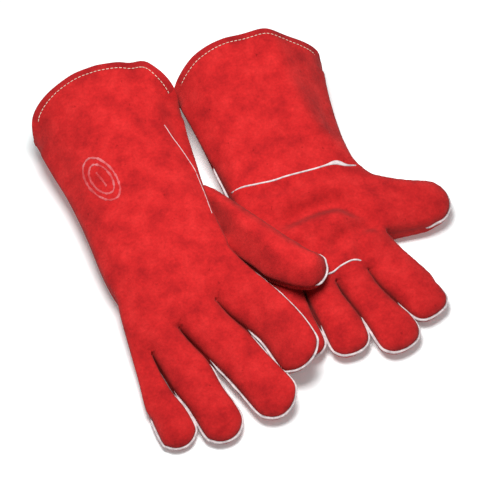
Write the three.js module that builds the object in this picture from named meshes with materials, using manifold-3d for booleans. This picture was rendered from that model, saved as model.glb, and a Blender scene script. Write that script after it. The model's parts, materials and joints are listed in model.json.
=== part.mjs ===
// A pair of long split-leather welding gloves lying side by side: the right glove with its back up, the
// left glove with its palm up, and the right index finger and thumb resting on the left glove.
// Every glove is a sewn double shell. A leather back and leather palm pieces meet at a seam that runs
// all the way round, a welt strip stands out of that seam, and a fleece lining fills the inside.
// Each finger and thumb folds across its middle, so its outer half is a group of its own.
// Millimetres, +Z up, fingertips towards -Y, cuffs towards +Y.
import * as THREE from "three";
import { mergeVertices } from "three/addons/utils/BufferGeometryUtils.js";
import Module from "manifold-3d";

const wasm = await Module();
wasm.setup();

// Thicknesses and clearances
const LEATHER = 1.6;
const LINING = 1.4;
const GAP = 0.3;
const WELT = 1.2; // thickness of the welt strip, between the two leathers
const WELT_PROUD = 1.5; // how far the welt stands out of the seam
const SEAM_EDGE = WELT / 2 + GAP; // a panel's edge, measured from the middle of the seam
const WELT_CLEAR = WELT / 2 + GAP / 3; // no leather comes nearer to the middle of the seam than this
const LINING_GAP = 0.5;
const LINING_FACE = LEATHER + LINING_GAP; // outer face of the lining, measured from the outside

// Fold of a finger across its middle
const FOLD_GAP = 0.8;
const FOLD_PALM = THREE.MathUtils.degToRad(32); // half the opening angle of the palm side's notch
const FOLD_BACK = THREE.MathUtils.degToRad(14); // the same on the back
const TIP_ROUND = 17; // length of a finger's rounded end

// Fineness of the faceted shapes
const BODY_STEPS = 7;
const DIGIT_STEPS = 4;
const SHAFT_RINGS = [0, 0.25, 0.6, 1];
const TIP_TURNS = [40, 74].map(THREE.MathUtils.degToRad);
const ROOT_SHARE = 0.5; // a digit starts this narrow, deep inside the hand
const SMOOTHING = 0.035; // faces closer to flat than this are merged
const SAME_POINT = 1e-3;
const CRUMB = 0.02;

// Tools for cutting reach past everything they cut.
const FAR = 400;
const REACH = 60;
const PAST = 6;

// Cuff and hand: rings from the mouth of the cuff to the roots of the fingers. left and right are the
// seams at either side, up is half the height, crown is how far the hem bows out in the middle.
// seam is the height of the side seams against y, and tilt raises it with x. Between x = from and
// x = to the seam climbs by rise, because the thumb and index finger lie on the other glove.
const RIGHT = {
  name: "right",
  x: -93,
  backIsUp: true,
  tilt: 0.07,
  climb: { from: 40, to: 98, rise: 24 },
  seam: [[160, 39.5], [62, 28.5], [-5, 24], [-60, 17.5], [-120, 12.5]],
  rings: [
    { left: [-75, 157], right: [60, 133], up: 41, crown: 24 },
    { left: [-67, 110], right: [56, 108], up: 36, crown: 6 },
    { left: [-60, 62], right: [52, 66], up: 29.5, crown: 0 },
    { left: [-58, 30], right: [52, 34], up: 27, crown: 0 },
    { left: [-56, -5], right: [53, -8], up: 25, crown: 0 },
    { left: [-54, -42], right: [60, -30], up: 21, crown: 0 },
    { left: [-54, -68], right: [61, -38], up: 18, crown: 0 },
    { left: [-46, -86], right: [46, -54], up: 8, crown: 0 },
  ],
  wrist: [[-90, 30], [-30, 35], [30, 36], [90, 33]],
  insert: { index: [28, -58], little: [-40, -80], bow: 8 },
  digits: {
    index: { root: [47.5, -40], tip: [81.5, -153], wide: [16.5, 17.5], high: 13.5, fold: 0.5 },
    middle: { root: [10, -50], tip: [47, -177], wide: [17.5, 18], high: 14, fold: 0.5 },
    ring: { root: [-22, -60], tip: [-4, -180], wide: [16, 16.5], high: 14, fold: 0.5 },
    little: { root: [-50, -60], tip: [-41, -173], wide: [12, 13.5], high: 13, fold: 0.5 },
    thumb: { root: [43, 25], tip: [122, -80], wide: [19, 17], high: 13.5, fold: 0.57 },
  },
};
const LEFT = {
  name: "left",
  x: 42,
  backIsUp: false,
  tilt: 0,
  climb: { from: 0, to: 1, rise: 0 },
  seam: [[155, 39], [62, 26.5], [-5, 20], [-60, 16.5], [-120, 13]],
  rings: [
    { left: [-70, 158], right: [71, 148], up: 40, crown: 22 },
    { left: [-67, 110], right: [63, 105], up: 34.5, crown: 6 },
    { left: [-64, 62], right: [57, 62], up: 27.5, crown: 0 },
    { left: [-61, 32], right: [56, 28], up: 23.5, crown: 0 },
    { left: [-59, -5], right: [55, -10], up: 21, crown: 0 },
    { left: [-57, -40], right: [57, -42], up: 19.5, crown: 0 },
    { left: [-56, -60], right: [56, -52], up: 18, crown: 0 },
    { left: [-46, -77], right: [44, -66], up: 8, crown: 0 },
  ],
  wrist: [[-90, 36], [-30, 27], [25, 25], [90, 22]],
  insert: { index: [27, -66], little: [-31, -74], bow: 6 },
  digits: {
    index: { root: [44, -45], tip: [70, -133], wide: [17, 18], high: 14, fold: 0.52 },
    middle: { root: [12, -55], tip: [31, -153], wide: [17.5, 17.5], high: 14, fold: 0.52 },
    ring: { root: [-18, -55], tip: [-11.5, -144], wide: [15.5, 15.5], high: 14, fold: 0.52 },
    little: { root: [-46, -55], tip: [-44.5, -134], wide: [11.5, 12], high: 13, fold: 0.52 },
    thumb: { root: [43, -8], tip: [128, -32], wide: [26, 22], high: 17, fold: 0.5 },
  },
};

// Split leather, undyed welt leather and cotton fleece
const COLOURS = { leather: 0xd6262b, welt: 0xc9c2b6, lining: 0xe8e0cc };
const ROUGHNESS = 0.95;

// ---- Shapes --------------------------------------------------------------------------------------

// Height of the side seams of a glove at a point of its plan.
function seamHeight(glove, x, y) {
  const stops = glove.seam;
  let i = 0;
  while (i < stops.length - 2 && y < stops[i + 1][0]) i += 1;
  const [y0, z0] = stops[i];
  const [y1, z1] = stops[i + 1];
  const share = THREE.MathUtils.clamp((y - y0) / (y1 - y0), 0, 1);
  const { from, to, rise } = glove.climb;
  const climbed = rise * THREE.MathUtils.smoothstep(x, from, to);
  return THREE.MathUtils.lerp(z0, z1, share) + glove.tilt * x + climbed;
}

// A closed body through a row of rings that all hold the same number of points.
function loft(rings) {
  const n = rings[0].length;
  const points = rings.flat();
  const index = [];
  for (let i = 0; i + 1 < rings.length; i += 1) {
    for (let j = 0; j < n; j += 1) {
      const a = i * n + j;
      const b = i * n + ((j + 1) % n);
      index.push(a, b, a + n, b, b + n, a + n);
    }
  }
  for (const [ring, start, turn] of [[rings[0], 0, 1], [rings.at(-1), points.length - n, -1]]) {
    const middle = points.length;
    points.push(ring.reduce((sum, p) => sum.add(p), new THREE.Vector3()).divideScalar(n));
    for (let j = 0; j < n; j += 1) {
      const edge = [start + j, start + ((j + 1) % n)];
      index.push(middle, ...(turn > 0 ? edge.reverse() : edge));
    }
  }
  const geometry = new THREE.BufferGeometry().setFromPoints(points);
  geometry.setIndex(index);
  return geometry;
}

// A closed three.js geometry as a solid that can be joined and cut.
function solid(geometry) {
  const bare = geometry.clone();
  bare.deleteAttribute("normal");
  bare.deleteAttribute("uv");
  const merged = mergeVertices(bare, SAME_POINT);
  const mesh = { numProp: 3, vertProperties: merged.attributes.position.array };
  const made = new wasm.Manifold(new wasm.Mesh({ ...mesh, triVerts: new Uint32Array(merged.index.array) }));
  if (made.volume() > 0) return made;
  const turned = new Uint32Array(merged.index.array).reverse();
  return new wasm.Manifold(new wasm.Mesh({ ...mesh, triVerts: turned }));
}

// The separate pieces of a solid, largest first.
function bySize(body) {
  return body.decompose().sort((a, b) => b.volume() - a.volume());
}

// A solid as a three.js geometry. Corners nearer together than CRUMB become one, and the slivers
// between them go.
function geometryOf(body) {
  const { numProp, vertProperties, triVerts } = body.getMesh();
  const geometry = new THREE.BufferGeometry();
  geometry.setAttribute("position", new THREE.BufferAttribute(vertProperties, numProp));
  geometry.setIndex(new THREE.BufferAttribute(triVerts, 1));
  const merged = mergeVertices(geometry, CRUMB);
  const corners = merged.index.array;
  const faces = [];
  for (let i = 0; i < corners.length; i += 3) {
    const [a, b, c] = corners.slice(i, i + 3);
    if (a !== b && b !== c && c !== a) faces.push(a, b, c);
  }
  merged.setIndex(faces);
  const flat = merged.toNonIndexed();
  flat.computeVertexNormals();
  return flat;
}

// Every ring crosses the glove between two seam points. cross gives the points of one ring: side 1 is
// the upper half, side -1 the lower half, "strip" the flat strip in the seam and "whole" all the way
// round. inset moves the surface inwards and edge is where a half stops short of the seam's middle.
function cross(glove, ring, side, inset, edge, steps) {
  const middle = ring.left.clone().add(ring.right).divideScalar(2);
  const half = ring.right.clone().sub(middle);
  half.setLength(Math.max(half.length() - inset, 1));
  const along = new THREE.Vector2(-half.y, half.x).normalize();
  const up = Math.max(ring.up - inset, 1);
  const at = (share, height, bow) => {
    const x = middle.x + half.x * share + along.x * bow;
    const y = middle.y + half.y * share + along.y * bow;
    const z = seamHeight(glove, x, y) + height;
    return new THREE.Vector3(x, y, Math.max(z, inset, 0));
  };
  if (side === "strip") {
    const width = [-1, 0, 1];
    return [...width.map((x) => at(x, edge, 0)), ...width.reverse().map((x) => at(x, -edge, 0))];
  }
  const turns = (count) => Array.from({ length: count }, (_, i) => (Math.PI * i) / steps);
  if (side === "whole") {
    return turns(2 * steps).map((turn) =>
      at(Math.cos(turn), up * Math.sin(turn), ring.crown * Math.abs(Math.sin(turn))),
    );
  }
  const arc = turns(steps + 1).map((turn) =>
    at(Math.cos(turn), side * (edge + (up - edge) * Math.sin(turn)), ring.crown * Math.sin(turn)),
  );
  return [...arc, at(0, side * edge, 0)];
}

// Cuff and hand as rings. past is how far the first one lies outside the hem.
function bodyRings(glove, inset, past) {
  const rings = glove.rings.map(({ left, right, up, crown }) => ({
    left: new THREE.Vector2(...left),
    right: new THREE.Vector2(...right),
    up,
    crown,
  }));
  rings.at(-1).left.y += inset;
  rings.at(-1).right.y += inset;
  if (past === 0) return rings;
  const outside = new THREE.Vector2(0, past);
  const [hem] = rings;
  const mouth = { ...hem, left: hem.left.clone().add(outside), right: hem.right.clone().add(outside) };
  return [mouth, ...rings];
}

// A finger or thumb as rings from inside the hand to its rounded tip.
function digitRings(glove, name, inset) {
  const digit = glove.digits[name];
  const root = new THREE.Vector2(...digit.root);
  const axis = new THREE.Vector2(...digit.tip).sub(root);
  const length = axis.length();
  const shaft = length - TIP_ROUND;
  axis.normalize();
  const across = new THREE.Vector2(-axis.y, axis.x);
  const straight = SHAFT_RINGS.map((share) => ({ run: share * shaft, round: share > 0 ? 1 : ROOT_SHARE }));
  const rounded = TIP_TURNS.map((turn) => ({
    run: shaft + (TIP_ROUND - inset) * Math.sin(turn),
    round: Math.cos(turn),
  }));
  return [...straight, ...rounded].map(({ run, round }) => {
    const half = THREE.MathUtils.lerp(digit.wide[0], digit.wide[1], run / length) * round;
    const centre = root.clone().addScaledVector(axis, run);
    return {
      left: centre.clone().addScaledVector(across, -half),
      right: centre.clone().addScaledVector(across, half),
      up: digit.high * round,
      crown: 0,
    };
  });
}

// ---- Folds ---------------------------------------------------------------------------------------

// The point that a digit folds about, half way through its thickness.
function hinge(glove, name) {
  const digit = glove.digits[name];
  const at = new THREE.Vector2(...digit.root).lerp(new THREE.Vector2(...digit.tip), digit.fold);
  return new THREE.Vector3(at.x, at.y, seamHeight(glove, at.x, at.y));
}

// All the space past a digit's fold. towards 1 starts on the tip's side of the notch, -1 on the hand's side.
function pastFold(glove, name, towards) {
  const { root, tip } = glove.digits[name];
  const axis = new THREE.Vector3(tip[0] - root[0], tip[1] - root[1], 0).normalize();
  const up = new THREE.Vector3(0, 0, 1);
  const across = axis.clone().cross(up);
  const palm = glove.backIsUp ? -1 : 1;
  const notch = (angle) => towards * (FOLD_GAP / 2 + REACH * Math.tan(angle));
  const outline = new THREE.Shape([
    new THREE.Vector2((towards * FOLD_GAP) / 2, 0),
    new THREE.Vector2(notch(FOLD_PALM), palm * REACH),
    new THREE.Vector2(FAR, palm * REACH),
    new THREE.Vector2(FAR, -palm * REACH),
    new THREE.Vector2(notch(FOLD_BACK), -palm * REACH),
  ]);
  const geometry = new THREE.ExtrudeGeometry(outline, { depth: 2 * REACH, bevelEnabled: false });
  geometry.translate(0, 0, -REACH);
  geometry.applyMatrix4(new THREE.Matrix4().makeBasis(axis, up, across.negate()));
  geometry.translate(...hinge(glove, name));
  return solid(geometry);
}

// ---- Layers --------------------------------------------------------------------------------------

// One layer of a digit, whole.
function digitLayer(glove, name, side, inset, edge) {
  const rings = digitRings(glove, name, inset);
  return solid(loft(rings.map((ring) => cross(glove, ring, side, inset, edge, DIGIT_STEPS))));
}

// One layer of the cuff and hand with its digits, whole or only up to their folds.
function handLayer(glove, side, inset, edge, past, folded) {
  const rings = bodyRings(glove, inset, past);
  const body = solid(loft(rings.map((ring) => cross(glove, ring, side, inset, edge, BODY_STEPS))));
  const digits = Object.keys(glove.digits).map((name) => {
    const digit = digitLayer(glove, name, side, inset, edge);
    return folded ? digit.subtract(pastFold(glove, name, -1)) : digit;
  });
  return wasm.Manifold.union([body, ...digits]);
}

// The space inside a glove, out through the mouth of its cuff, from a depth below the outside.
function handSpace(glove, depth) {
  return handLayer(glove, "whole", depth, 0, PAST, false);
}

function digitSpace(glove, name, depth) {
  return digitLayer(glove, name, "whole", depth, 0);
}

// The lining is one sock without a seam.
function handLining(glove) {
  const outer = handLayer(glove, "whole", LINING_FACE, 0, 0, true);
  return outer.subtract(handSpace(glove, LINING_FACE + LINING));
}

function digitLining(glove, name) {
  return digitSpace(glove, name, LINING_FACE).subtract(digitSpace(glove, name, LINING_FACE + LINING));
}

// ---- Seams across the palm -----------------------------------------------------------------------

// An upright wall of the given width that follows a line of plan points.
function wall(line, width) {
  const there = line.map(([x, y]) => new THREE.Vector2(x, y + width / 2));
  const back = line.map(([x, y]) => new THREE.Vector2(x, y - width / 2)).reverse();
  return upright([...there, ...back]);
}

// An upright prism over an outline of plan points.
function upright(outline) {
  const geometry = new THREE.ExtrudeGeometry(new THREE.Shape(outline), { depth: FAR, bevelEnabled: false });
  geometry.translate(0, 0, -FAR / 2);
  return solid(geometry);
}

// The seam across the base of the middle and ring fingers bows towards the wrist.
function insertLine({ index, little, bow }) {
  const ends = [new THREE.Vector2(...little), new THREE.Vector2(...index)];
  const middle = ends[0].clone().lerp(ends[1], 1 / 2);
  middle.y += bow;
  return [ends[0], middle, ends[1]].map((p) => [p.x, p.y]);
}

// The palm side of the middle and ring fingers, past the seam at their base.
function insertArea(glove, line) {
  const lean = (name) => {
    const { root, tip } = glove.digits[name];
    return new THREE.Vector2(tip[0] - root[0], tip[1] - root[1]).normalize();
  };
  const little = new THREE.Vector2(...line[0]);
  const index = new THREE.Vector2(...line.at(-1));
  const outline = [
    ...line.map(([x, y]) => new THREE.Vector2(x, y)),
    index.clone().addScaledVector(lean("index").add(lean("middle")), FAR / 2),
    little.clone().addScaledVector(lean("little").add(lean("ring")), FAR / 2),
  ];
  return upright(outline);
}

// The strip of welt leather in a seam across the palm.
function palmWelt(glove, palm, line, space) {
  const outer = handLayer(glove, palm, -WELT_PROUD, SEAM_EDGE, 0, true);
  return bySize(outer.subtract(space).intersect(wall(line, WELT)))[0];
}

// ---- Gloves --------------------------------------------------------------------------------------

function mesh(name, body, kind, origin) {
  const geometry = geometryOf(bySize(body.simplify(SMOOTHING))[0]);
  geometry.translate(-origin.x, -origin.y, -origin.z);
  const look = { color: COLOURS[kind], roughness: ROUGHNESS, metalness: 0 };
  const made = new THREE.Mesh(geometry, new THREE.MeshStandardMaterial(look));
  made.name = name;
  return made;
}

// The piece of a cut seam strip that lies nearest to a point of the plan.
function strand(strips, x, y) {
  const distance = (piece) => {
    const { min, max } = piece.boundingBox();
    return Math.hypot((min[0] + max[0]) / 2 - x, (min[1] + max[1]) / 2 - y);
  };
  return strips.reduce((best, piece) => (distance(piece) < distance(best) ? piece : best));
}

// Leather, welts and lining of the cuff, the hand and the digits up to their folds.
function hand(glove) {
  const back = glove.backIsUp ? 1 : -1;
  const palm = -back;
  const clear = WELT + 2 * GAP;
  const baseLine = insertLine(glove.insert);
  const origin = new THREE.Vector3();
  const group = new THREE.Group();
  const add = (name, body, kind) => group.add(mesh(glove.name + "_" + name, body, kind, origin));

  const space = handSpace(glove, LEATHER);
  const half = (side, inset, edge) => handLayer(glove, side, inset, edge, 0, true);

  add("back_panel", half(back, 0, SEAM_EDGE).subtract(space), "leather");

  const palmHalf = half(palm, 0, SEAM_EDGE).subtract(space).subtract(half(back, -GAP, GAP - SEAM_EDGE));
  const palmSide = bySize(palmHalf.subtract(wall(glove.wrist, clear))).slice(0, 2);
  const [cuffSide, handSide] = palmSide.sort((a, b) => b.boundingBox().max[1] - a.boundingBox().max[1]);
  const seamed = handSide.subtract(wall(baseLine, clear));
  const insert = insertArea(glove, baseLine);
  add("cuff_palm_panel", cuffSide, "leather");
  add("palm_panel", bySize(seamed.subtract(insert))[0], "leather");
  add("palm_insert", bySize(seamed.intersect(insert))[0], "leather");
  add("wrist_welt", palmWelt(glove, palm, glove.wrist, space), "welt");
  add("insert_welt", palmWelt(glove, palm, baseLine, space), "welt");

  const rim = half("strip", -WELT_PROUD, WELT / 2);
  const leathers = half(1, -GAP, WELT_CLEAR).add(half(-1, -GAP, WELT_CLEAR));
  const strips = bySize(rim.subtract(space).subtract(leathers));
  const { thumb, index, little } = glove.digits;
  const upperCuff = glove.rings[1];
  add("little_side_welt", strand(strips, little.root[0], 0), "welt");
  add("thumb_side_welt", strand(strips, ...upperCuff.right), "welt");
  add("thumb_crotch_welt", strand(strips, (thumb.tip[0] + index.tip[0]) / 2, index.root[1]), "welt");

  add("lining", handLining(glove), "lining");
  return group;
}

// Leather, welt and lining of a digit past its fold, in a group that stands on the fold.
function digitEnd(glove, name) {
  const back = glove.backIsUp ? 1 : -1;
  const origin = hinge(glove, name);
  const past = pastFold(glove, name, 1);
  const group = new THREE.Group();
  group.position.copy(origin);
  const label = glove.name + "_" + name + "_";
  const add = (piece, body, kind) => group.add(mesh(label + piece, body.intersect(past), kind, origin));
  const space = digitSpace(glove, name, LEATHER);
  const half = (side, inset, edge) => digitLayer(glove, name, side, inset, edge);
  const leathers = half(1, -GAP, WELT_CLEAR).add(half(-1, -GAP, WELT_CLEAR));
  add("back", half(back, 0, SEAM_EDGE).subtract(space), "leather");
  add("palm", half(-back, 0, SEAM_EDGE).subtract(space), "leather");
  add("welt", half("strip", -WELT_PROUD, WELT / 2).subtract(space).subtract(leathers), "welt");
  add("lining", digitLining(glove, name), "lining");
  return group;
}

function buildGlove(glove) {
  const group = new THREE.Group();
  group.position.x = glove.x;
  group.add(hand(glove));
  Object.keys(glove.digits).forEach((name) => group.add(digitEnd(glove, name)));
  return group;
}

// The pair stands on z = 0 with the middle of its outline over the origin.
const gloves = new THREE.Group();
gloves.add(buildGlove(RIGHT), buildGlove(LEFT));
const outline = new THREE.Box3().setFromObject(gloves, true);
const middle = outline.getCenter(new THREE.Vector3());
gloves.position.set(-middle.x, -middle.y, -outline.min.z);

export default gloves;
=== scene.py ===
"""A pair of red split-leather welding gloves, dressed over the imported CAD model.

Each glove is two leather sheets that meet at a welted seam. The seam's outline is drawn in plan, the
sheets are blown up between its sides by solving Poisson's equation on their own mesh, and the folds,
the welts, the hem and the lining follow from that one surface. Plan measures are millimetres in the
shared frame, and they become metres when a piece is made.
"""
import json
import math

import bpy
import numpy as np
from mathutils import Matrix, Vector, geometry, noise


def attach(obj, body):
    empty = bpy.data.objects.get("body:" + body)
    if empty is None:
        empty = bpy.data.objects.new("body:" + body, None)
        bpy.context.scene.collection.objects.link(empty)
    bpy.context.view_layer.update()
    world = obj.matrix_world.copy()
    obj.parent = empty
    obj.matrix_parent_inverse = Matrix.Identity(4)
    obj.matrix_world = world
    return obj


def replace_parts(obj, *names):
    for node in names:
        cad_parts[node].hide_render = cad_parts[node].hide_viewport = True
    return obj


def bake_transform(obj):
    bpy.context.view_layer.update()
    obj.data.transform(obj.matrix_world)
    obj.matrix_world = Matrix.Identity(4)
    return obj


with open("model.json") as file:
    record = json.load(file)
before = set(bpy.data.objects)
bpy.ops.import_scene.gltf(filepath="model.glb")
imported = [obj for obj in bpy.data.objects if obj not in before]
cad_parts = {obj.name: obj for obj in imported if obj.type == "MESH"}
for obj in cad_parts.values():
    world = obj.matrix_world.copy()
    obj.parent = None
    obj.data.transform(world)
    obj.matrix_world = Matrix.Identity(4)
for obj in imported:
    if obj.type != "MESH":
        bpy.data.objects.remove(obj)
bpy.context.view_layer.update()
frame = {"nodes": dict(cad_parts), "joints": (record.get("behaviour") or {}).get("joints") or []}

MM = 0.001
JOINTS = {joint["name"]: joint for joint in frame["joints"]}

# Fineness of the sheets
EDGE_STEP = 2.2
FILL_STEP = 2.8
EDGE_LAYERS = (0.12, 0.5, 1.2, 2.3, 3.9)

# How the leather is blown up, where it rests, where the lining lies in it, and how far from the seam
# creases fade out
ROUNDNESS = 1.1
FLOOR = 0.7
LINING_DEPTH = 3.2
LINING_TUCKED = 2
FIRM_EDGE = 14

# Puckers that the seam's stitches draw in the leather, and the leather's own unevenness as
# (size of a patch, depth, seed)
PUCKER_DEEP = 0.35
PUCKER_PITCH = 7.5
PUCKER_REACH = 4.5
UNEVEN = ((26, 1.3, 11), (11, 0.45, 5))

# A crease pushes up a shoulder beside it: the shoulder's share of the depth, and how many widths away.
SHOULDER_SHARE = 0.25
SHOULDER_AWAY = 1.9

# How flat the cuff's mouth is pressed, and over which stretch that comes in
LENS = 0.8
LENS_FROM, LENS_TO = 30, 120

# How far leather bulges past its seam, above and below
OVERHANG = 0.4
UNDERHANG = 1.6
ROLL_SOFTNESS = 5

# A welt comes out of its seam over these stretches, measured from a crotch and from the cuff's mouth.
CROTCH_NEAR, CROTCH_FAR = 26, 50
MOUTH_NEAR, MOUTH_FAR = 7.5, 21.5

# The faded stamp: half its length and width, the width of its strokes and their height over the leather
PRINT_LONG = 24
PRINT_WIDE = 12
PRINT_STROKE = 1.7
PRINT_THICK = 0.3

# Welts: those of the outline, and those that cross a sheet, where only the upper edge shows. Where the
# wrist's seam gapes, its welt moves out and up, and shows wider by that share.
WELT_THICK = 1.9
WELT_PROUD = 1.8
WELT_SUNK = 1.2
WELT_UNEVEN = 0.25
CROSSING_THICK = 1.5
CROSSING_PROUD = 0.8
CROSSING_SMOOTHING = 5
GAPE_OUT, GAPE_UP, GAPE_WIDER = 1.6, 0.5, 2
ROLLED_SEAM_SCALE = 0.4

# Hem and thread. The hem is thinner where it turns round the mouth's corners, and has no stitches there.
HEM_DEEP = 7.5
HEM_THICK = 4.2
HEM_PROUD = 0.35
HEM_CORNER = 12
HEM_CORNER_SCALE = 0.35
STITCH_LONG = 2.7
STITCH_PITCH = 4.0
STITCH_WIDE = 0.34
STITCH_INSET = 1.2
STITCH_CORNER = 13

# A digit's piece starts this far before its fold, and reaches this far sideways.
DIGITS = ("thumb", "index", "middle", "ring", "little")
BEND_BEFORE = 21
DIGIT_REACH = 30

# Plans of the gloves. A side is a row of points between two corners of the seam, and a digit's name
# stands for its round end, which lies past its fold by reach and to one side by swing. A crease is a
# line with its depth and width, and a negative depth makes a ridge. Rolled stretches are boxes in which
# leather rolls over its welt by that much more. Heights are tables against y.
RIGHT = {
    "name": "right",
    "back_up": True,
    "hem": [(-170.5, 158), (-165, 168), (-149, 177), (-130, 182), (-104, 183.5), (-76, 178.5), (-56, 172),
            (-46, 161), (-39, 149), (-35, 138)],
    "sides": [
        [(-35, 138), (-38.5, 112), (-40, 92), (-41, 76), (-43, 50), (-43.5, 30), (-43, 10), (-40.5, -14),
         (-31, -41), (-18.7, -70), (-7.5, -103), "index", (-42, -108), (-48.5, -92), (-57.5, -76),
         (-67.7, -56)],
        [(-67.7, -56), (-59.8, -76), (-51.5, -92), (-43.8, -116), (-36.5, -137), "middle",
         (-73.5, -145), (-79.5, -128), (-88.5, -106), (-97.5, -86), (-105.7, -69)],
        [(-105.7, -69), (-99.7, -86), (-91.7, -106), (-88, -131), (-83.5, -148), "ring",
         (-120.5, -139), (-126.8, -120), (-131, -99), (-134.7, -82)],
        [(-134.7, -82), (-133, -99), (-129.2, -120), (-123.5, -138), "little", (-152.7, -129),
         (-150.5, -100), (-149, -71), (-147.5, -43), (-146, -27), (-149, -12), (-151.5, 9),
         (-153, 43), (-157, 84), (-163.5, 118), (-170.5, 158)],
    ],
    "digits": {
        "index": {"reach": 33.8, "swing": -0.6, "radius": 18},
        "middle": {"reach": 45.1, "swing": 2.7, "radius": 19},
        "ring": {"reach": 42.8, "swing": 2.3, "radius": 17.5},
        "little": {"reach": 39.7, "swing": 1.0, "radius": 15.5},
    },
    "seam": [(-180, 8.5), (-120, 12.5), (-60, 17.5), (-5, 24), (62, 28.5), (160, 39.5)],
    "tilt": (0.07, -94.6),
    "climb": (-54.6, 3.4, 24),
    "fullness": [(-180, 26), (-90, 26), (-45, 24), (-5, 28), (30, 31.5), (62, 35), (110, 46), (160, 56)],
    "creases": [
        ([(-52, 200), (-56, 150), (-58, 112), (-53, 84)], -2.5, 7),
        ([(-66, 190), (-74, 150), (-72, 110)], 2, 6),
        ([(-120, -62), (-106, -66)], 1.5, 4),
    ],
    "rolled": [((-60, -12), (-20, 126), 2.4), ((-175, -134), (-138, 142), 3)],
    "side": [(-57, 113), (-53, 100), (-48.7, 88), (-47, 76), (-46, 62), (-46.5, 44), (-47, 18)],
    "print": ((-127, 80), 107),
    "wrist": [(-190, 33), (-125, 38), (-65, 39), (-30, 36)],
    "insert": [(-134.6, -77), (-100, -60), (-66.6, -55)],
}
RIGHT_THUMB = {
    "name": "right",
    "back_up": True,
    "hem": None,
    "sides": [
        [(-64, 30), (-56, 52), (-45, 60), (-35, 48), (-26, 29), (-8, -8), (10, -38), "thumb", (-4, -72),
         (-18, -56), (-27, -37), (-38, -17), (-56, 0), (-64, 30)],
    ],
    "digits": {"thumb": {"reach": 37.4, "swing": -2.9, "radius": 17}},
    "seam": RIGHT["seam"],
    "tilt": RIGHT["tilt"],
    "climb": RIGHT["climb"],
    "fullness": [(-180, 26), (160, 26)],
    "creases": [([(-47, 60), (-43, 10), (-40, -14), (-30, -42), (-16, -76)], 15, 8)],
    "rolled": [((-75, -100), (15, 75), 2.4), ((10, -43), (45, 75), 2.4)],
    "drop": 6,
}
LEFT = {
    "name": "left",
    "back_up": False,
    "hem": [(-34, 160), (-22, 166), (-5, 172.5), (15.5, 175.5), (40, 174.5), (61, 171), (72, 167), (90, 161),
            (106, 156), (111.5, 151)],
    "sides": [
        [(111.5, 151), (105, 124), (101, 100), (97.5, 70), (96.5, 49), (97.5, 34), (104, 21), (120, 11),
         (138, 2.5), "thumb", (138.3, -46), (121, -44), (106, -42), (99, -42)],
        [(99, -42), (104, -60), (111, -75), (118.5, -92), "index", (83, -106), (77, -92), (72.5, -81),
         (69.5, -71)],
        [(69.5, -71), (71.5, -82), (75, -94), (81, -108), (87.5, -121), "middle", (49.8, -118),
         (45, -97), (41, -83), (38.5, -72)],
        [(38.5, -72), (39.5, -83), (43, -97), (46.5, -112), "ring", (12, -107), (10.6, -92),
         (10.2, -80), (9, -66)],
        [(9, -66), (8.3, -80), (8.4, -97), (9.2, -110), "little", (-16.5, -97), (-18, -70),
         (-19, -40), (-19.5, -5), (-20.7, 37), (-24, 78), (-28, 118), (-34, 160)],
    ],
    "digits": {
        "thumb": {"reach": 21.4, "swing": 0, "radius": 21.5},
        "index": {"reach": 23.7, "swing": 1.4, "radius": 18.5, "blunt": 0.72},
        "middle": {"reach": 28.2, "swing": 3, "radius": 19.5, "blunt": 0.8},
        "ring": {"reach": 23, "swing": 2, "radius": 17.5, "blunt": 0.8},
        "little": {"reach": 24, "swing": 1.4, "radius": 12.5},
    },
    "seam": [(-180, 11), (-120, 13), (-60, 16.5), (-5, 20), (62, 26.5), (155, 39)],
    "tilt": (0, 0),
    "climb": (0, 1, 0),
    "fullness": [(-180, 26), (-90, 26), (-55, 22), (-5, 22.5), (32, 27), (62, 33), (105, 44), (155, 55)],
    "creases": [
        ([(61, 200), (66, 115), (70, 70), (79, 40)], -5, 13),
        ([(102, -42), (86, -28), (71, -9), (55, -4), (31, -5), (-2, -14)], 7, 9),
        ([(-4, -28), (20, -24), (44, -22), (74, -26)], -4, 11),
        ([(96, -36), (66, -37), (51, -43), (40, -56)], 4.5, 6),
        ([(76, -36), (68, -54), (67, -68)], 2.5, 5),
        ([(-24, 30), (10, 22), (50, 19), (92, 15)], 1.5, 5),
    ],
    "rolled": [((-42, 75), (-5, 144), 2.4), ((85, 18), (125, 138), 2.4), ((100, -98), (128, -46), 2)],
    "wrist": [(-40, 43), (-21.4, 38.5), (7.5, 31.5), (34, 30.5), (60, 29.3), (76, 30), (84, 26), (100, 24)],
    "gape": (79, 7),
    "insert": [(9, -66), (31, -69), (43, -66), (56, -63.5), (64, -65), (66.5, -69)],
}


# ---- Plan geometry -------------------------------------------------------------------------------

def digit_axes(plan, digit):
    """The fold's place in plan, the direction to the tip and the direction across, from the CAD joint."""
    joint = JOINTS[f"{plan['name']}_{digit}_fold"]
    fold = np.array(joint["pos_m"][:2]) / MM
    turn = 1 if plan["back_up"] else -1
    lean = np.array([joint["axis"][1], -joint["axis"][0]]) * turn
    across = np.array([-lean[1], lean[0]])
    return fold, lean, across


def round_end(plan, digit):
    """Points round a digit's end, from its thumb side to its little-finger side."""
    fold, lean, across = digit_axes(plan, digit)
    shape = plan["digits"][digit]
    centre = fold + shape["reach"] * lean + shape["swing"] * across
    blunt = shape.get("blunt", 1)
    points = []
    for t in np.radians(np.arange(-75, 76, 25)):
        ahead, aside = math.cos(t) ** blunt, math.copysign(abs(math.sin(t)) ** blunt, math.sin(t))
        points.append(centre + shape["radius"] * (ahead * lean - aside * across))
    return points


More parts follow.
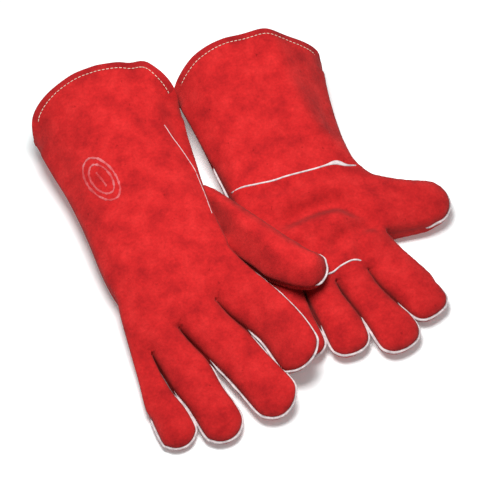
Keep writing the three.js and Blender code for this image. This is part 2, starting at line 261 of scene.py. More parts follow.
def through(points, step):
    """A smooth curve through points, resampled at about equal steps."""
    p = np.array(points, float)
    p = np.vstack([2 * p[0] - p[1], p, 2 * p[-1] - p[-2]])
    fine = []
    for a, b, c, d in zip(p, p[1:], p[2:], p[3:]):
        for t in np.linspace(0, 1, 24, endpoint=False):
            fine.append(0.5 * (2 * b + (c - a) * t + (2 * a - 5 * b + 4 * c - d) * t**2
                               + (3 * b - a - 3 * c + d) * t**3))
    fine = np.array(fine + [p[-2]])
    run = np.r_[0, np.cumsum(np.linalg.norm(np.diff(fine, axis=0), axis=1))]
    even = np.linspace(0, run[-1], max(int(round(run[-1] / step)), 2) + 1)
    return np.column_stack([np.interp(even, run, fine[:, k]) for k in range(fine.shape[1])])


def side_curve(plan, side):
    points = []
    for entry in side:
        points += round_end(plan, entry) if isinstance(entry, str) else [np.array(entry, float)]
    return through(points, EDGE_STEP)


def distance_to(points, line):
    """Distance of each point to a polyline, how far along the line its nearest point lies, and that point."""
    a, b = line[:-1], line[1:]
    d = b - a
    length = np.linalg.norm(d, axis=1)
    start = np.r_[0, np.cumsum(length)[:-1]]
    near = np.full(len(points), np.inf)
    run = np.zeros(len(points))
    foot = np.zeros((len(points), 2))
    for k in range(len(a)):
        t = (((points - a[k]) @ d[k]) / length[k] ** 2).clip(0, 1)
        place = a[k] + t[:, None] * d[k]
        away = np.linalg.norm(points - place, axis=1)
        closer = away < near
        near[closer] = away[closer]
        run[closer] = start[k] + t[closer] * length[k]
        foot[closer] = place[closer]
    return near, run, foot


def inside(points, loop):
    """Which points lie inside a closed loop of plan points."""
    x, y = points[:, 0], points[:, 1]
    odd = np.zeros(len(points), bool)
    for (x0, y0), (x1, y1) in zip(loop, np.roll(loop, -1, axis=0)):
        crosses = (y0 > y) != (y1 > y)
        with np.errstate(divide="ignore", invalid="ignore"):
            odd ^= crosses & (x < (x1 - x0) * (y - y0) / (y1 - y0) + x0)
    return odd


def fill(loop):
    """A triangle mesh of the plan inside a loop, finer towards the loop. The loop's points come first."""
    inner = []
    ahead = np.roll(loop, -1, axis=0) - np.roll(loop, 1, axis=0)
    normal = np.column_stack([ahead[:, 1], -ahead[:, 0]])
    normal /= np.linalg.norm(normal, axis=1)[:, None]
    if not inside(loop[:1] + 0.01 * normal[:1], loop)[0]:
        normal = -normal
    closed = np.vstack([loop, loop[:1]])
    for depth in EDGE_LAYERS:
        layer = loop + depth * normal
        near = distance_to(layer, closed)[0]
        inner.append(layer[(near > 0.93 * depth) & inside(layer, loop)])
    low, high = loop.min(0), loop.max(0)
    rows = np.arange(low[1], high[1], FILL_STEP * math.sqrt(3) / 2)
    for k, y in enumerate(rows):
        x = np.arange(low[0], high[0], FILL_STEP) + (k % 2) * FILL_STEP / 2
        row = np.column_stack([x, np.full(len(x), y)])
        row = row[inside(row, loop)]
        if len(row):
            near = distance_to(row, closed)[0]
            inner.append(row[near > EDGE_LAYERS[-1] + 0.6 * FILL_STEP])
    points = np.vstack([loop, *inner])
    made = geometry.delaunay_2d_cdt([Vector(p) for p in points], [], [list(range(len(loop)))], 1, 1e-4)
    plan = np.array([tuple(v) for v in made[0]])
    faces = np.array([tuple(f) for f in made[2]])
    area = np.cross(plan[faces[:, 1]] - plan[faces[:, 0]], plan[faces[:, 2]] - plan[faces[:, 0]])
    faces[area < 0] = faces[area < 0][:, ::-1]
    return plan, faces


# ---- Blowing up ----------------------------------------------------------------------------------

def blow_up(plan, faces, held):
    """Solves Poisson's equation with 0 at the held points, and returns the height of an even balloon."""
    corner = plan[faces]
    rows, cols, weights = [], [], []
    area2 = np.abs(np.cross(corner[:, 1] - corner[:, 0], corner[:, 2] - corner[:, 0])) + 1e-9
    for k in range(3):
        i, j = faces[:, (k + 1) % 3], faces[:, (k + 2) % 3]
        u = corner[:, (k + 1) % 3] - corner[:, k]
        v = corner[:, (k + 2) % 3] - corner[:, k]
        rows.append(i)
        cols.append(j)
        weights.append(0.5 * np.sum(u * v, axis=1) / area2)
    i, j, w = map(np.concatenate, (rows, cols, weights))
    n = len(plan)
    load = np.bincount(faces.ravel(), np.repeat(area2 / 6, 3), n)
    diagonal = np.bincount(i, w, n) + np.bincount(j, w, n)
    free = ~held

    def apply(x):
        return (diagonal * x - np.bincount(i, w * x[j], n) - np.bincount(j, w * x[i], n)) * free

    phi = np.zeros(n)
    rest = load * free
    scaled = rest / diagonal
    step = scaled.copy()
    size = rest @ scaled
    for _ in range(4000):
        pushed = apply(step)
        share = size / (step @ pushed)
        phi += share * step
        rest -= share * pushed
        scaled = rest / diagonal
        last, size = size, rest @ scaled
        if size < 1e-12 * (load @ load):
            break
        step = scaled + size / last * step
    return np.sqrt(2 * phi.clip(0))


def smooth_step(x, low, high):
    t = ((x - low) / (high - low)).clip(0, 1)
    return t * t * (3 - 2 * t)


def seam_height(plan, points):
    """Height of the seam's plane over the floor."""
    y, z = np.array(plan["seam"], float).T
    slope, middle = plan["tilt"]
    start, end, rise = plan["climb"]
    x = points[:, 0]
    height = np.interp(points[:, 1], y, z) + slope * (x - middle) + rise * smooth_step(x, start, end)
    return height - plan.get("drop", 0)


def rolled(plan, points):
    """How far the leather near each point rolls over its welt, and whether the welt is hidden there."""
    amounts = np.zeros(len(points))
    hidden = np.zeros(len(points))
    for low, high, amount in plan["rolled"]:
        share = np.ones(len(points))
        for axis in range(2):
            for end, way in ((low[axis], 1), (-high[axis], -1)):
                share *= smooth_step(way * points[:, axis], end - ROLL_SOFTNESS, end + ROLL_SOFTNESS)
        amounts = np.maximum(amounts, amount * share)
        hidden = np.maximum(hidden, share)
    return amounts, hidden


def mottle(points, size, seed):
    return np.array([noise.noise(Vector((x / size, y / size, seed))) for x, y in points])


class Shell:
    """One glove's surface: its plan mesh and the two sheets that are blown up from it."""

    def __init__(self, plan):
        self.plan = plan
        self.curves = [side_curve(plan, side) for side in plan["sides"]]
        self.hem = through(plan["hem"], EDGE_STEP) if plan["hem"] else None
        self.loop = np.vstack([c[:-1] for c in self.curves] + ([self.hem[:-1]] if plan["hem"] else []))
        self.points, self.faces = fill(self.loop)
        self.edge = np.full(len(self.points), np.inf)
        self.run = np.zeros(len(self.points))
        self.foot = self.points.copy()
        for curve in self.curves:
            near, run, foot = distance_to(self.points, curve)
            closer = near < self.edge
            self.edge[closer], self.run[closer], self.foot[closer] = near[closer], run[closer], foot[closer]
        balloon = blow_up(self.points, self.faces, self.edge < 1e-3)
        y, full = np.array(plan["fullness"], float).T
        full = np.interp(self.points[:, 1], y, full)
        self.height = full * (1 - np.exp(-ROUNDNESS * balloon / full))
        lens = LENS * smooth_step(self.points[:, 1], LENS_FROM, LENS_TO)
        self.height *= (balloon / balloon.max()) ** lens
        self.middle = seam_height(plan, self.points)
        self.shape()

    def shape(self):
        """Folds, puckers along the seam and unevenness, then the top and bottom sheets."""
        drop = self.plan.get("drop", 0) * smooth_step(self.edge, 0, 9)
        top = self.height + drop
        bottom = self.height - drop
        room = smooth_step(self.edge, 0, FIRM_EDGE)
        for line, depth, width in self.plan["creases"]:
            away, run, _ = distance_to(self.points, through(line, 2))
            length = run.max()
            fade = smooth_step(run, -0.1 * length, 0.25 * length) * smooth_step(-run, -length, -0.75 * length)
            top -= depth * fade * room * np.exp(-(away / width) ** 2)
            shoulder = np.exp(-((away - SHOULDER_AWAY * width) / width) ** 2)
            top += SHOULDER_SHARE * depth * fade * room * shoulder
        pucker = PUCKER_DEEP * np.sin(2 * np.pi * self.run / PUCKER_PITCH + 5 * mottle(self.points, 18, 3))
        pucker *= np.exp(-self.edge / PUCKER_REACH) * smooth_step(self.edge, 0, 1.5)
        uneven = sum(deep * mottle(self.points, size, seed) for size, deep, seed in UNEVEN)
        top += pucker + uneven * smooth_step(self.edge, 0, 12)
        bottom += pucker
        top = self.middle + np.maximum(top, 0)
        low = self.middle - bottom
        bottom = np.maximum(low, FLOOR) + 0.6 * np.exp(-np.abs(low - FLOOR) / 2)
        bottom = np.where(self.edge < 1e-3, self.middle, np.minimum(bottom, self.middle))
        past = (1 - np.exp(-self.edge / 0.35)) * (1 - smooth_step(self.edge, 1.5, 9))
        outwards = (self.foot - self.points) / (self.edge[:, None] + 1e-9) * past[:, None]
        over = outwards * (OVERHANG + rolled(self.plan, self.points)[0])[:, None]
        under = outwards * UNDERHANG
        self.thick = top - bottom
        self.sheets = {
            1: np.column_stack([self.points + over, top]),
            -1: np.column_stack([self.points + under, bottom]),
        }

    def at(self, where, side):
        """Points on the top (1) or bottom (-1) sheet over plan points."""
        found = []
        for x, y in where:
            away = np.hypot(self.points[:, 0] - x, self.points[:, 1] - y)
            near = np.argsort(away)[:6]
            weight = 1 / (away[near] + 0.05) ** 2
            found.append(weight @ self.sheets[side][near] / weight.sum())
        return np.array(found)


# ---- Materials -----------------------------------------------------------------------------------

def node_material(name):
    material = bpy.data.materials.new(name)
    material.use_nodes = True
    tree = material.node_tree
    return material, tree, tree.nodes["Principled BSDF"]


def link(tree, source, target):
    tree.links.new(source, target)


def noise_node(tree, place, scale, detail, roughness=0.5):
    node = tree.nodes.new("ShaderNodeTexNoise")
    node.inputs["Scale"].default_value = scale
    node.inputs["Detail"].default_value = detail
    node.inputs["Roughness"].default_value = roughness
    link(tree, place, node.inputs["Vector"])
    return node.outputs["Fac"]


def ramp_node(tree, value, stops):
    node = tree.nodes.new("ShaderNodeValToRGB")
    ramp = node.color_ramp
    while len(ramp.elements) < len(stops):
        ramp.elements.new(0.5)
    for element, (position, colour) in zip(ramp.elements, stops):
        element.position = position
        element.color = (*colour, 1)
    link(tree, value, node.inputs["Fac"])
    return node.outputs["Color"]


def mix_node(tree, kind, share, a, b):
    node = tree.nodes.new("ShaderNodeMix")
    node.data_type = "RGBA"
    node.blend_type = kind
    if isinstance(share, float):
        node.inputs["Factor"].default_value = share
    else:
        link(tree, share, node.inputs["Factor"])
    for socket, value in (("A", a), ("B", b)):
        target = [i for i in node.inputs if i.name == socket and i.type == "RGBA"][0]
        if isinstance(value, tuple):
            target.default_value = (*value, 1)
        else:
            link(tree, value, target)
    return [o for o in node.outputs if o.type == "RGBA"][0]


def bump_node(tree, height, distance, strength, normal=None):
    node = tree.nodes.new("ShaderNodeBump")
    node.inputs["Distance"].default_value = distance
    node.inputs["Strength"].default_value = strength
    link(tree, height, node.inputs["Height"])
    if normal is not None:
        link(tree, normal, node.inputs["Normal"])
    return node.outputs["Normal"]


def suede(name, dark, mid, light):
    """Napped split leather: patches where the nap lies another way, short fibres and a few dark flecks, with
    painted shade that darkens surfaces seen edge-on.
    """
    material, tree, shader = node_material(name)
    place = tree.nodes.new("ShaderNodeTexCoord").outputs["Object"]
    patches = noise_node(tree, place, 55, 5, 0.62)
    colour = ramp_node(tree, patches, [(0.3, dark), (0.5, mid), (0.72, light)])
    nap = noise_node(tree, place, 420, 5, 0.7)
    nap_tone = ramp_node(tree, nap, [(0.3, (0.72, 0.7, 0.7)), (0.7, (1.12, 1.08, 1.08))])
    colour = mix_node(tree, "MULTIPLY", 0.8, colour, nap_tone)
    flecks = ramp_node(tree, noise_node(tree, place, 240, 2, 0.4), [(0.71, (0, 0, 0)), (0.78, (1, 1, 1))])
    colour = mix_node(tree, "MULTIPLY", flecks, colour, (0.7, 0.6, 0.6))
    # Painted shade: surfaces seen edge-on, such as the sides and ends of the digits, are darkened to about
    # half, standing in for the shade they fall into.
    painted_shade_weight = tree.nodes.new("ShaderNodeLayerWeight")
    painted_shade_weight.inputs["Blend"].default_value = 0.35
    turned = ramp_node(tree, painted_shade_weight.outputs["Facing"], [(0.3, (1, 1, 1)), (0.95, (0.5, 0.45, 0.5))])
    colour = mix_node(tree, "MULTIPLY", 1.0, colour, turned)
    link(tree, colour, shader.inputs["Base Color"])
    shader.inputs["Roughness"].default_value = 0.93
    shader.inputs["Specular IOR Level"].default_value = 0.15
    shader.inputs["Sheen Weight"].default_value = 0.08
    shader.inputs["Sheen Roughness"].default_value = 0.55
    shader.inputs["Sheen Tint"].default_value = (1.0, 0.45, 0.4, 1)
    fibres = noise_node(tree, place, 1500, 3, 0.7)
    lumps = bump_node(tree, nap, 0.0006, 0.55)
    link(tree, bump_node(tree, fibres, 0.0002, 0.5, lumps), shader.inputs["Normal"])
    return material


def plain_leather(name, dark, light):
    """Undyed welt leather: matt, a little grubby."""
    material, tree, shader = node_material(name)
    place = tree.nodes.new("ShaderNodeTexCoord").outputs["Object"]
    tone = noise_node(tree, place, 260, 5, 0.65)
    link(tree, ramp_node(tree, tone, [(0.3, dark), (0.65, light)]), shader.inputs["Base Color"])
    shader.inputs["Roughness"].default_value = 0.85
    shader.inputs["Specular IOR Level"].default_value = 0.2
    link(tree, bump_node(tree, tone, 0.0005, 0.6), shader.inputs["Normal"])
    return material


def fleece(name, dark, light):
    """Brushed cotton: soft round tufts."""
    material, tree, shader = node_material(name)
    place = tree.nodes.new("ShaderNodeTexCoord").outputs["Object"]
    tufts = tree.nodes.new("ShaderNodeTexVoronoi")
    tufts.inputs["Scale"].default_value = 420
    link(tree, place, tufts.inputs["Vector"])
    fuzz = noise_node(tree, place, 700, 4, 0.7)
    link(tree, ramp_node(tree, fuzz, [(0.3, dark), (0.7, light)]), shader.inputs["Base Color"])
    shader.inputs["Roughness"].default_value = 1.0
    shader.inputs["Sheen Weight"].default_value = 0.3
    lumps = bump_node(tree, tufts.outputs["Distance"], 0.001, 0.8)
    link(tree, bump_node(tree, fuzz, 0.0005, 0.6, lumps), shader.inputs["Normal"])
    return material


MATERIALS = {
    "red_leather": suede("red_suede", (0.33, 0.007, 0.009), (0.46, 0.012, 0.013), (0.56, 0.02, 0.02)),
    "edge_leather": suede("red_suede_edge", (0.25, 0.006, 0.008), (0.36, 0.01, 0.012), (0.44, 0.016, 0.018)),
    "welt_leather": plain_leather("welt_leather", (0.38, 0.32, 0.33), (0.70, 0.61, 0.61)),
    "faded_print": suede("faded_print", (0.40, 0.015, 0.016), (0.50, 0.07, 0.075), (0.60, 0.25, 0.26)),
    "lining": fleece("cotton_fleece", (0.55, 0.50, 0.41), (0.76, 0.72, 0.62)),
    "thread": plain_leather("thread", (0.52, 0.42, 0.32), (0.78, 0.68, 0.54)),
}


# ---- Pieces --------------------------------------------------------------------------------------

def piece(name, points, faces, material, normals=None):
    """A mesh object from points in millimetres."""
    mesh = bpy.data.meshes.new(name)
    mesh.from_pydata((np.asarray(points) * MM).tolist(), [], [list(map(int, f)) for f in faces])
    mesh.shade_smooth()
    if normals is not None:
        mesh.normals_split_custom_set_from_vertices(normals.tolist())
    mesh.materials.append(MATERIALS[material])
    made = bpy.data.objects.new(name, mesh)
    bpy.context.scene.collection.objects.link(made)
    return made


def mount(made, plan, region):
    """The hand's pieces ride on the glove; a digit's pieces only have their transform baked into their mesh.
    """
    glove = plan["name"] + "_glove"
    if region not in DIGITS:
        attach(made, glove)
        return made
    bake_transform(made)
    return made


def regions(plan, points):
    """The digit whose folding part each plan point lies in, or hand.

    A part starts a little before its bend, so that it meets the hand where neither moves. Between two
    digits a point goes to the one whose side of the seam goes round it, or else to the relatively nearer.
    """
    found = np.full(len(points), "hand", dtype=object)
    best = np.full(len(points), np.inf)
    round_it = {digit: inside(points, side_curve(plan, side))
                for side in plan["sides"] for digit in side if isinstance(digit, str)}
    owned = np.any(list(round_it.values()), axis=0)
    for digit, shape in plan["digits"].items():
        fold, lean, across = digit_axes(plan, digit)
        along = (points - fold) @ lean
        aside = np.abs((points - fold) @ across)
        share = aside / shape["radius"]
        mine = (along > -BEND_BEFORE - FILL_STEP) & (aside < DIGIT_REACH) & (share < best)
        mine &= round_it[digit] | ~owned
        found[mine] = digit
        best[mine] = share[mine]
    return found


def above(points, line):
    """Which points lie on the cuff's side of a line that runs in x."""
    x, y = np.array(line, float).T
    order = np.argsort(x)
    return points[:, 1] > np.interp(points[:, 0], x[order], y[order])


def vertex_normals(points, faces):
    a, b, c = (points[faces[:, k]] for k in range(3))
    face = np.cross(b - a, c - a)
    total = np.zeros_like(points)
    for k in range(3):
        for axis in range(3):
            total[:, axis] += np.bincount(faces[:, k], face[:, axis], len(points))
    return total / (np.linalg.norm(total, axis=1)[:, None] + 1e-12)


def part_of(name, points, faces, normals, keep, material):
    """The chosen faces of a sheet as a piece of their own, with the whole sheet's normals."""
    used, new = np.unique(faces[keep], return_inverse=True)
    return piece(name, points[used], new.reshape(-1, 3), material, normals[used])


def leather_pieces(shell):
    plan = shell.plan
    name = plan["name"]
    centre = shell.points[shell.faces].mean(axis=1)
    region = regions(plan, centre)
    for side, points in shell.sheets.items():
        faces = shell.faces if side > 0 else shell.faces[:, ::-1]
        normals = vertex_normals(points, faces)
        back = (side > 0) == plan["back_up"]
        for digit in plan["digits"]:
            kind = "back" if back else "palm"
            label = f"{name}_{digit}_{kind}"
            made = part_of("soft_" + label, points, faces, normals, region == digit, "red_leather")
            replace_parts(mount(made, plan, digit), label)
        hand = region == "hand"
        if back or not plan["hem"]:
            parts = {"back_panel": hand}
        else:
            cuff = hand & above(centre, plan["wrist"])
            insert = hand & ~above(centre, plan["insert"]) & within(plan, centre)
            parts = {"cuff_palm_panel": cuff, "palm_insert": insert, "palm_panel": hand & ~cuff & ~insert}
        for label, keep in parts.items():
            extra = "" if plan["hem"] else "_thumb_base_" + ("back" if back else "palm")
            made = part_of(f"soft_{name}_{label}{extra}", points, faces, normals, keep, "red_leather")
            mount(made, plan, "hand")
            if plan["hem"]:
                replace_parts(made, f"{name}_{label}")


def within(plan, points):
    """Which points lie between the two ends of the insert's seam."""
    x = [p[0] for p in plan["insert"]]
    return (points[:, 0] > min(x)) & (points[:, 0] < max(x))


def lining_pieces(shell):
    """The lining lies inside both sheets, its end tucked under the hem. It is split where digits bend."""
    plan = shell.plan
    room = np.minimum(LINING_DEPTH, shell.thick / 2)
    centre = shell.points[shell.faces].mean(axis=1)
    region = regions(plan, centre)
    open_ = (shell.thick > 2 * LINING_DEPTH)[shell.faces].any(axis=1)
    if plan["hem"]:
        open_ &= distance_to(centre, shell.hem)[0] > HEM_DEEP - LINING_TUCKED
    n = len(shell.points)
    points = np.vstack([
        np.column_stack([shell.points, shell.sheets[1][:, 2] - room]),
        np.column_stack([shell.points, shell.sheets[-1][:, 2] + room]),
    ])
    for label in ("hand", *plan["digits"]):
        keep = open_ & (region == label)
        faces = np.vstack([shell.faces[keep][:, ::-1], shell.faces[keep] + n])
        normals = vertex_normals(points, faces)
        node = f"{plan['name']}_lining" if label == "hand" else f"{plan['name']}_{label}_lining"
        extra = "" if plan["hem"] or label != "hand" else "_thumb_base"
        made = part_of("soft_" + node + extra, points, faces, normals, np.full(len(faces), True), "lining")
        mount(made, plan, label)
        if not extra:
            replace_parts(made, node)


def sweep(name, path, out, up, section, material, closed=False):
    """A section of (out, up) offsets carried along a path, with its ends closed."""
    path, out, up = (np.asarray(a, float) for a in (path, out, up))
    rings = path[:, None] + section[:, :1] * out[:, None] + section[:, 1:] * up[:, None]
    n, m = rings.shape[:2]
    points = rings.reshape(-1, 3)
    faces = []
    for i in range(n if closed else n - 1):
        for j in range(m):
            a, b = i * m + j, i * m + (j + 1) % m
            c, d = ((i + 1) % n) * m + (j + 1) % m, ((i + 1) % n) * m + j
            faces.append((a, b, c, d))
    if not closed:
        faces += [tuple(range(m))[::-1], tuple(range((n - 1) * m, n * m))]
    return piece(name, points, faces, material)


def rounded(low, high, thick, bevel=0.35, turns=3):
    """A rectangle with rounded corners, from low to high outwards and thick across."""
    points = []
    half = thick / 2
    for cx, cy, start in ((high, half, 0), (low, half, 90), (low, -half, 180), (high, -half, 270)):
        inward = (cx - math.copysign(bevel, cx - (low + high) / 2), cy - math.copysign(bevel, cy))
        for t in np.radians(np.linspace(start, start + 90, turns)):
            points.append((inward[0] + bevel * math.cos(t), inward[1] + bevel * math.sin(t)))
    return np.array(points)


def outward(path, loop):
    """Level unit vectors square to a plan path, out of the loop."""
    ahead = np.gradient(path[:, :2], axis=0)
    out = np.column_stack([ahead[:, 1], -ahead[:, 0]])
    out /= np.linalg.norm(out, axis=1)[:, None] + 1e-9
    middle = len(path) // 2
    if inside(path[middle : middle + 1, :2] + out[middle], loop)[0]:
        out = -out
    return np.column_stack([out, np.zeros(len(out))])


def runs(labels):
    """The stretches of equal labels as (label, first, last)."""
    start = 0
    for k in range(1, len(labels) + 1):
        if k == len(labels) or labels[k] != labels[start]:
            yield labels[start], start, min(k, len(labels) - 1)
            start = k


def welt_pieces(shell, names):
    """Welts along the seam's outline, one piece for each stretch of the hand or of a digit."""
    plan = shell.plan
    section = rounded(-WELT_SUNK, WELT_PROUD, WELT_THICK, 0.5)
    for k, (curve, name) in enumerate(zip(shell.curves, names)):
        path = np.column_stack([curve, seam_height(plan, curve)])
        out = outward(path, shell.loop)
        shown = 1 - rolled(plan, curve)[1]
        run = np.arange(len(curve)) * EDGE_STEP
        if k > 0:
            shown *= smooth_step(run, CROTCH_NEAR, CROTCH_FAR)
        if k < len(shell.curves) - 1:
            shown *= smooth_step(run[-1] - run, CROTCH_NEAR, CROTCH_FAR)
        if plan["hem"]:
            shown *= smooth_step(distance_to(curve, shell.hem)[0], MOUTH_NEAR, MOUTH_FAR)
        path -= WELT_PROUD * (1 - shown[:, None]) * out
        shown = np.maximum(shown, 0.1) * (1 + WELT_UNEVEN * mottle(curve, 9, 2))
        up = np.column_stack([np.zeros((len(path), 2)), np.ones(len(path))])
        region = regions(plan, curve - out[:, :2])
        count = {}
        for label, first, last in runs(list(region)):
            count[label] = count.get(label, 0) + 1
            part = slice(first, last + 1)
            node = f"{plan['name']}_{label}_welt" if label != "hand" else f"{plan['name']}_{name}"
            suffix = "" if count[label] == 1 else f"_{count[label]}"
            own = f"soft_{node}_{name}{suffix}" if label != "hand" else f"soft_{node}{suffix}"
            made = sweep(own, path[part], out[part] * shown[part, None], up[part], section, "welt_leather")
            mount(made, plan, label)
            if node in frame["nodes"]:
                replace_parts(made, node)
            if node.endswith("thumb_side_welt") and plan["back_up"]:
                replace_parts(made, f"{plan['name']}_thumb_crotch_welt")


def seam_welt(shell, line, node, side):
    """A welt in a seam that crosses a sheet. Only its upper edge shows, and it stands up where it gapes."""
    plan = shell.plan
    curve = through(line, EDGE_STEP)
    curve = curve[inside(curve, shell.loop)]
    path = shell.at(curve, side)
    for _ in range(CROSSING_SMOOTHING):
        path[1:-1] = (path[:-2] + 2 * path[1:-1] + path[2:]) / 4
    ahead = np.gradient(path, axis=0)
    ahead /= np.linalg.norm(ahead, axis=1)[:, None]
    across = np.cross(ahead, (0, 0, 1))
    across /= np.linalg.norm(across, axis=1)[:, None]
    across[across[:, 1] < 0] *= -1
    up = np.cross(across, ahead)
    up *= np.sign(up[:, 2:]) * side * (1 + WELT_UNEVEN * mottle(curve, 9, 2)[:, None])
    if "gape" in plan and "wrist" in node:
        place, width = plan["gape"]
        gape = np.exp(-((curve[:, :1] - place) / width) ** 2)
        path = path + GAPE_OUT * gape * across + GAPE_UP * gape * up
        across = across * (1 + GAPE_WIDER * gape)
    section = rounded(-WELT_SUNK, CROSSING_PROUD, CROSSING_THICK, 0.5)
    if node.endswith("rolled"):
        section *= ROLLED_SEAM_SCALE
    made = sweep(f"soft_{node}", path, up, across, section, "welt_leather")
    return mount(made, plan, "hand")


def faded_print(shell, centre, turn):
    """A worn stamp on the cuff: two oval rings round a bar, lying just over the leather."""
    along = np.array([math.cos(math.radians(turn)), math.sin(math.radians(turn))])
    across = np.array([-along[1], along[0]])
    turns = np.linspace(0, 2 * math.pi, 60)
    ring = np.column_stack([PRINT_LONG * np.cos(turns), PRINT_WIDE * np.sin(turns)])
    bar = np.column_stack([np.linspace(-0.35, 0.35, 16) * PRINT_LONG, np.zeros(16)])
    strokes = [ring, 0.68 * ring, bar]
    points, faces = [], []
    for stroke in strokes:
        ahead = np.gradient(stroke, axis=0)
        side = unit(np.column_stack([-ahead[:, 1], ahead[:, 0]])) * PRINT_STROKE / 2
        base = len(points)
        for edge in (stroke - side, stroke + side):
            place = np.array(centre) + edge[:, :1] * along + edge[:, 1:] * across
            points += list(shell.at(place, 1) + (0, 0, PRINT_THICK))
        n = len(stroke)
        faces += [(base + i, base + i + 1, base + n + i + 1, base + n + i) for i in range(n - 1)]
    mount(piece("soft_right_cuff_print", points, faces, "faded_print"), shell.plan, "hand")


def smoothed(ring, passes):
    """A closed ring of vectors, each averaged with its neighbours."""
    for _ in range(passes):
        ring = (np.roll(ring, 1, axis=0) + 2 * ring + np.roll(ring, -1, axis=0)) / 4
    return ring


def unit(vectors):
    return vectors / np.linalg.norm(vectors, axis=1)[:, None]


def hem_loop(shell):
    """Points round the cuff's mouth, and the ways along it, out of it and off the leather."""
    inner_plan = shell.hem - HEM_DEEP * outward(shell.hem, shell.loop)[:, :2]
    path = np.vstack([shell.at(shell.hem, 1), shell.at(shell.hem, -1)[::-1][1:-1]])
    inner = np.vstack([shell.at(inner_plan, 1), shell.at(inner_plan, -1)[::-1][1:-1]])
    path, inner = smoothed(path, 3), smoothed(inner, 3)
    ahead = unit(np.roll(path, -1, axis=0) - np.roll(path, 1, axis=0))
    out = path - inner
    out = unit(smoothed(unit(out - np.sum(out * ahead, axis=1)[:, None] * ahead), 4))
    off = unit(np.cross(ahead, out))
    if off[len(shell.hem) // 2, 2] < 0:
        off = -off
    steps = np.arange(len(path))
    corner = np.minimum(np.abs(steps - len(shell.hem) + 1), np.minimum(steps, len(path) - steps))
    away = smooth_step(corner * EDGE_STEP, 1, HEM_CORNER)
    off *= (HEM_CORNER_SCALE + (1 - HEM_CORNER_SCALE) * away)[:, None]
    return path, ahead, out, off


def hem_pieces(shell):
    """The hem: the leather turned in over its own edge, and the row of stitches that holds it."""
    name = shell.plan["name"]
    path, ahead, out, off = hem_loop(shell)
    section = rounded(-HEM_DEEP, 0.8, HEM_THICK, 1.2, 4) + (0, HEM_PROUD - HEM_THICK / 2)
    made = sweep(f"soft_{name}_hem", path, out, off, section, "edge_leather", closed=True)
    mount(made, shell.plan, "hand")
    rings = [np.vstack([ring, ring[:1]]) for ring in (path, ahead, out, off)]
    run = np.r_[0, np.cumsum(np.linalg.norm(np.diff(rings[0], axis=0), axis=1))]
    count = int(run[-1] / STITCH_PITCH)
    points, faces = [], []
    turns = np.radians(np.arange(0, 360, 60))
    shape = [(-0.5, 0.35), (-0.38, 0.9), (0, 1), (0.38, 0.9), (0.5, 0.35)]
    places = (np.arange(count) + 0.5) / count * run[-1]
    corners = (0, run[len(shell.hem) - 1], run[-1])
    for s in places[[min(abs(s - c) for c in corners) > STITCH_CORNER for s in places]]:
        centre, along, way, away = (
            np.array([np.interp(s, run, ring[:, i]) for i in range(3)]) for ring in rings
        )
        centre = centre - (HEM_DEEP - STITCH_INSET) * way + (HEM_PROUD + 0.05) * away
        base = len(points)
        for share, size in shape:
            for t in turns:
                points.append(centre + share * STITCH_LONG * along
                              + STITCH_WIDE * size * (math.cos(t) * way + 0.7 * math.sin(t) * away))
        m = len(turns)
        for i in range(len(shape) - 1):
            for j in range(m):
                a, b = base + i * m + j, base + i * m + (j + 1) % m
                faces.append((a, b, b + m, a + m))
        faces += [tuple(range(base, base + m))[::-1], tuple(range(len(points) - m, len(points)))]
    mount(piece(f"soft_{name}_hem_stitches", points, faces, "thread"), shell.plan, "hand")


# ---- Gloves --------------------------------------------------------------------------------------

def dress(plan, welt_names):
    shell = Shell(plan)
    leather_pieces(shell)
    lining_pieces(shell)
    welt_pieces(shell, welt_names)
    if plan["hem"]:
        hem_pieces(shell)
        palm = -1 if plan["back_up"] else 1
        for label in ("wrist", "insert"):
            node = f"{plan['name']}_{label}_welt"
            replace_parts(seam_welt(shell, plan[label], node, palm), node)
    if "side" in plan:
        seam_welt(shell, plan["side"], f"{plan['name']}_thumb_side_welt_rolled", -palm)
    if "print" in plan:
        faded_print(shell, *plan["print"])


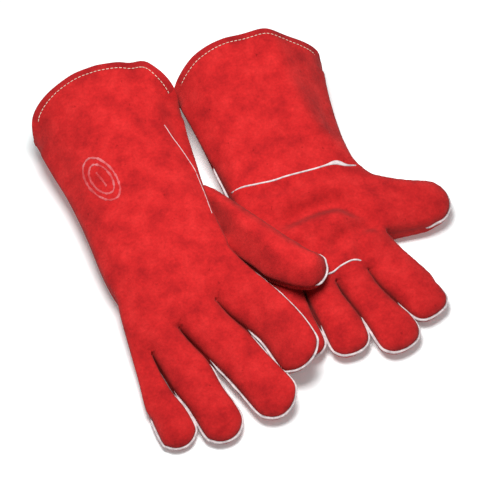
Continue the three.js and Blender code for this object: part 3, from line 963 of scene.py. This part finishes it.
FINGER_WELTS = ["index_middle_welt", "middle_ring_welt", "little_side_welt"]
dress(RIGHT, ["thumb_side_welt", *FINGER_WELTS])
dress(RIGHT_THUMB, ["thumb_base_welt"])
dress(LEFT, ["thumb_side_welt", "thumb_crotch_welt", *FINGER_WELTS])


# ---- Floor, light and camera ---------------------------------------------------------------------

def stage_scene():
    scene = bpy.context.scene
    bpy.ops.mesh.primitive_plane_add(size=6, location=(0, 0, 0))
    floor = bpy.context.object
    floor.name = "floor"
    material, tree, shader = node_material("pale_floor")
    shader.inputs["Base Color"].default_value = (0.94, 0.97, 0.97, 1)
    shader.inputs["Emission Color"].default_value = (0.92, 1, 0.99, 1)
    shader.inputs["Emission Strength"].default_value = 0.15
    shader.inputs["Roughness"].default_value = 0.9
    shader.inputs["Specular IOR Level"].default_value = 0.1
    floor.data.materials.append(material)

    world = bpy.data.worlds.new("soft_white")
    world.use_nodes = True
    world.node_tree.nodes["Background"].inputs["Color"].default_value = (0.95, 0.98, 1, 1)
    world.node_tree.nodes["Background"].inputs["Strength"].default_value = 0.24
    scene.world = world
    lamp("key", (-0.06, -0.01, 0.67), 0.28, 6.2)
    scene.view_settings.view_transform = "Standard"


def lamp(name, place, size, power):
    light = bpy.data.lights.new(name, "AREA")
    light.size = size
    light.energy = power
    made = bpy.data.objects.new(name, light)
    made.location = place
    made.rotation_euler = (-Vector(place)).to_track_quat("-Z", "Y").to_euler()
    bpy.context.scene.collection.objects.link(made)


def photo_camera():
    """The photograph looks down steeply, from a little to the left of the fingertips."""
    azimuth, elevation, distance = math.radians(-20), math.radians(58), 1.23
    target = Vector((-0.0197, -0.012, 0.030))
    back = Vector((math.sin(azimuth) * math.cos(elevation), -math.cos(azimuth) * math.cos(elevation),
                   math.sin(elevation)))
    camera = bpy.data.cameras.new("camera")
    camera.lens = 100
    camera.sensor_width = 36
    made = bpy.data.objects.new("camera", camera)
    made.location = target + distance * back
    made.rotation_euler = (-back).to_track_quat("-Z", "Y").to_euler()
    bpy.context.scene.collection.objects.link(made)
    bpy.context.scene.camera = made


stage_scene()
photo_camera()
